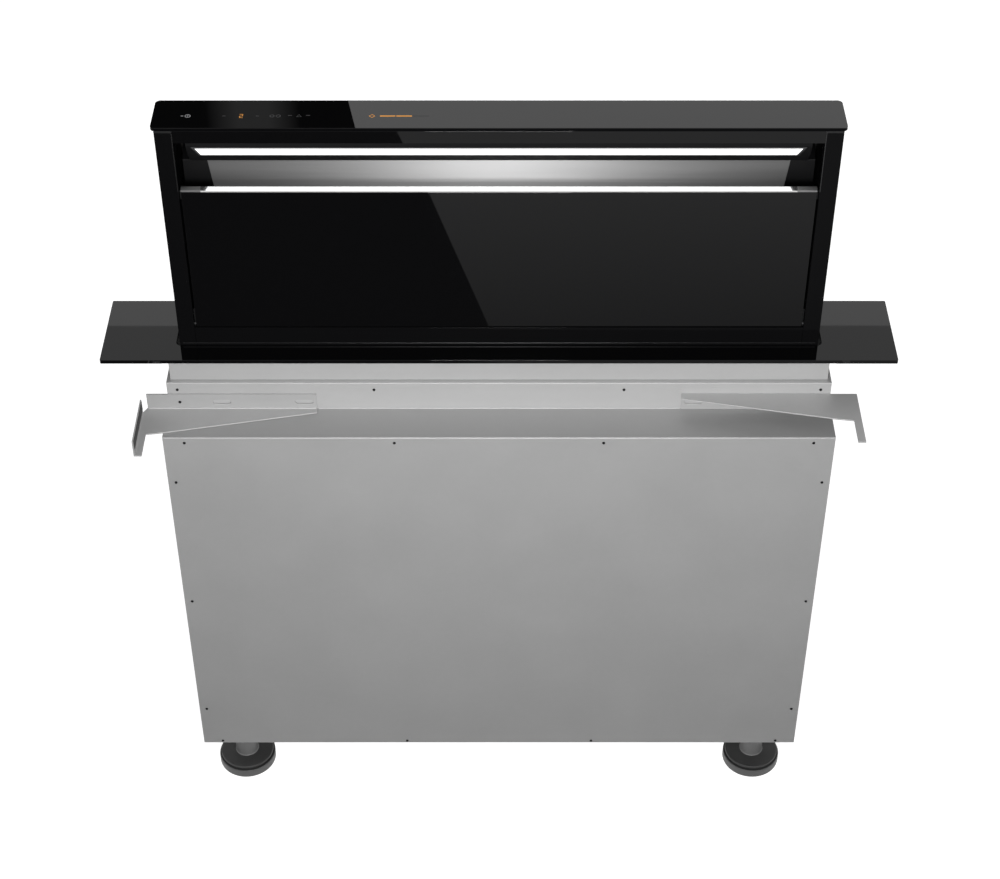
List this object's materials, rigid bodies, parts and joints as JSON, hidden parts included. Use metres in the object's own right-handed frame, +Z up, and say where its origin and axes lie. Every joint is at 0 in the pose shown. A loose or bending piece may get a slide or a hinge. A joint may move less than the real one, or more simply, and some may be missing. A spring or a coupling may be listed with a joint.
{
  "type": "downdraft vent",
  "caption": "Motor-driven downdraft vent for a kitchen worktop: a black glass tower with a lit suction slot rises from a steel casing on adjustable feet.",
  "frame": {"origin": "on the floor, under the middle of the whole unit's outline", "axes": "+Z up, +Y away from the cook towards the duct outlet, +X to the cook's right"},
  "size_m": [1.098, 0.2748, 1.1635],
  "materials": {
    "black_glass": "opaque black glass, polished",
    "black_steel": "black powder coat, satin",
    "galvanised_steel": "galvanised sheet, satin grey",
    "bracket_steel": "galvanised sheet, satin grey",
    "stainless_steel": "brushed stainless steel",
    "lamp_diffuser": "white diffuser, lit",
    "black_plastic": "moulded black plastic",
    "foot_plastic": "moulded dark grey plastic",
    "rubber": "black rubber",
    "machined_steel": "bright zinc-plated steel",
    "filter_mesh": "layered metal grease mesh"
  },
  "bodies": {
    "casing": {"worktop_plate": "black_glass", "slot_seal": "rubber", "collar_front": "galvanised_steel", "collar_rear": "galvanised_steel", "collar_end_left": "galvanised_steel", "collar_end_right": "galvanised_steel", "upper_housing_front": "galvanised_steel", "side_panel_left": "galvanised_steel", "side_panel_right": "galvanised_steel", "rear_panel": "galvanised_steel", "ledge_panel": "galvanised_steel", "front_cover": "galvanised_steel", "bottom_pan": "galvanised_steel", "mounting_bracket_left": "bracket_steel", "mounting_bracket_right": "bracket_steel", "blower_scroll": "galvanised_steel", "blower_motor": "machined_steel", "outlet_spigot": "galvanised_steel", "control_box": "black_plastic", "mains_inlet": "black_plastic", "rail_outer_left": "machined_steel", "rail_outer_right": "machined_steel", "belt_left": "rubber", "belt_right": "rubber", "belt_frame_left": "galvanised_steel", "belt_frame_right": "galvanised_steel", "lift_motor": "machined_steel"},
    "foot_front_left": {"foot_front_left": "foot_plastic"},
    "foot_front_right": {"foot_front_right": "foot_plastic"},
    "foot_rear_left": {"foot_rear_left": "foot_plastic"},
    "foot_rear_right": {"foot_rear_right": "foot_plastic"},
    "impeller": {"impeller": "black_plastic"},
    "damper_left": {"damper_flap_left": "machined_steel"},
    "damper_right": {"damper_flap_right": "machined_steel"},
    "drive_shaft": {"drive_shaft": "machined_steel"},
    "idler_left": {"idler_pulley_left": "black_plastic"},
    "idler_right": {"idler_pulley_right": "black_plastic"},
    "slide_left": {"rail_middle_left": "machined_steel"},
    "slide_right": {"rail_middle_right": "machined_steel"},
    "tower": {"cap_glass": "black_glass", "cap_carrier": "black_steel", "header_front": "black_steel", "pillar_left": "black_steel", "pillar_right": "black_steel", "tower_back": "black_steel", "front_skirt": "black_steel", "light_housing": "black_plastic", "light_lens": "lamp_diffuser", "deflector": "stainless_steel", "filter_left": "filter_mesh", "filter_right": "filter_mesh", "rail_inner_left": "machined_steel", "rail_inner_right": "machined_steel", "lift_crossbar": "black_steel", "panel_catch_left": "black_plastic", "panel_catch_right": "black_plastic"},
    "front_panel": {"panel_glass": "black_glass", "panel_rail": "stainless_steel", "panel_hinge_left": "machined_steel", "panel_hinge_right": "machined_steel"}
  },
  "joints": [
    {"name": "tower_lift", "type": "slide", "parent": "casing", "child": "tower", "axis": [0, 0, 1], "range_m": [-0.35, 0]},
    {"name": "panel_tilt", "type": "hinge", "parent": "tower", "child": "front_panel", "pos_m": [0, 0.0041, 0.847], "axis": [1, 0, 0], "range_deg": [0, 40]},
    {"name": "slide_left_run", "type": "slide", "parent": "casing", "child": "slide_left", "axis": [0, 0, 1], "range_m": [-0.175, 0]},
    {"name": "slide_right_run", "type": "slide", "parent": "casing", "child": "slide_right", "axis": [0, 0, 1], "range_m": [-0.175, 0]},
    {"name": "drive_shaft_turn", "type": "hinge", "parent": "casing", "child": "drive_shaft", "pos_m": [0, -0.0434, 0.7025], "axis": [1, 0, 0], "range_deg": [-1250, 0]},
    {"name": "idler_left_turn", "type": "hinge", "parent": "casing", "child": "idler_left", "pos_m": [-0.3432, -0.0434, 0.2612], "axis": [1, 0, 0], "range_deg": [-1250, 0]},
    {"name": "idler_right_turn", "type": "hinge", "parent": "casing", "child": "idler_right", "pos_m": [0.3432, -0.0434, 0.2612], "axis": [1, 0, 0], "range_deg": [-1250, 0]},
    {"name": "impeller_spin", "type": "hinge", "parent": "casing", "child": "impeller", "pos_m": [0, -0.0064, 0.201], "axis": [1, 0, 0], "continuous": true},
    {"name": "damper_left_swing", "type": "hinge", "parent": "casing", "child": "damper_left", "pos_m": [0, 0.1214, 0.18058], "axis": [0, 0, -1], "range_deg": [0, 75], "stiffness_Nm_per_rad": 0.01},
    {"name": "damper_right_swing", "type": "hinge", "parent": "casing", "child": "damper_right", "pos_m": [0, 0.1214, 0.18058], "axis": [0, 0, 1], "range_deg": [0, 75], "stiffness_Nm_per_rad": 0.01},
    {"name": "foot_front_left_screw", "type": "slide", "parent": "casing", "child": "foot_front_left", "axis": [0, 0, 1], "range_m": [-0.03, 0]},
    {"name": "foot_front_right_screw", "type": "slide", "parent": "casing", "child": "foot_front_right", "axis": [0, 0, 1], "range_m": [-0.03, 0]},
    {"name": "foot_rear_left_screw", "type": "slide", "parent": "casing", "child": "foot_rear_left", "axis": [0, 0, 1], "range_m": [-0.03, 0]},
    {"name": "foot_rear_right_screw", "type": "slide", "parent": "casing", "child": "foot_rear_right", "axis": [0, 0, 1], "range_m": [-0.03, 0]}
  ],
  "couplings": [
    {"joint": "slide_left_run", "follows": "tower_lift", "ratio": 0.5},
    {"joint": "slide_right_run", "follows": "tower_lift", "ratio": 0.5},
    {"joint": "drive_shaft_turn", "follows": "tower_lift", "rad_per_m": 62.305},
    {"joint": "idler_left_turn", "follows": "tower_lift", "rad_per_m": 62.305},
    {"joint": "idler_right_turn", "follows": "tower_lift", "rad_per_m": 62.305}
  ]
}
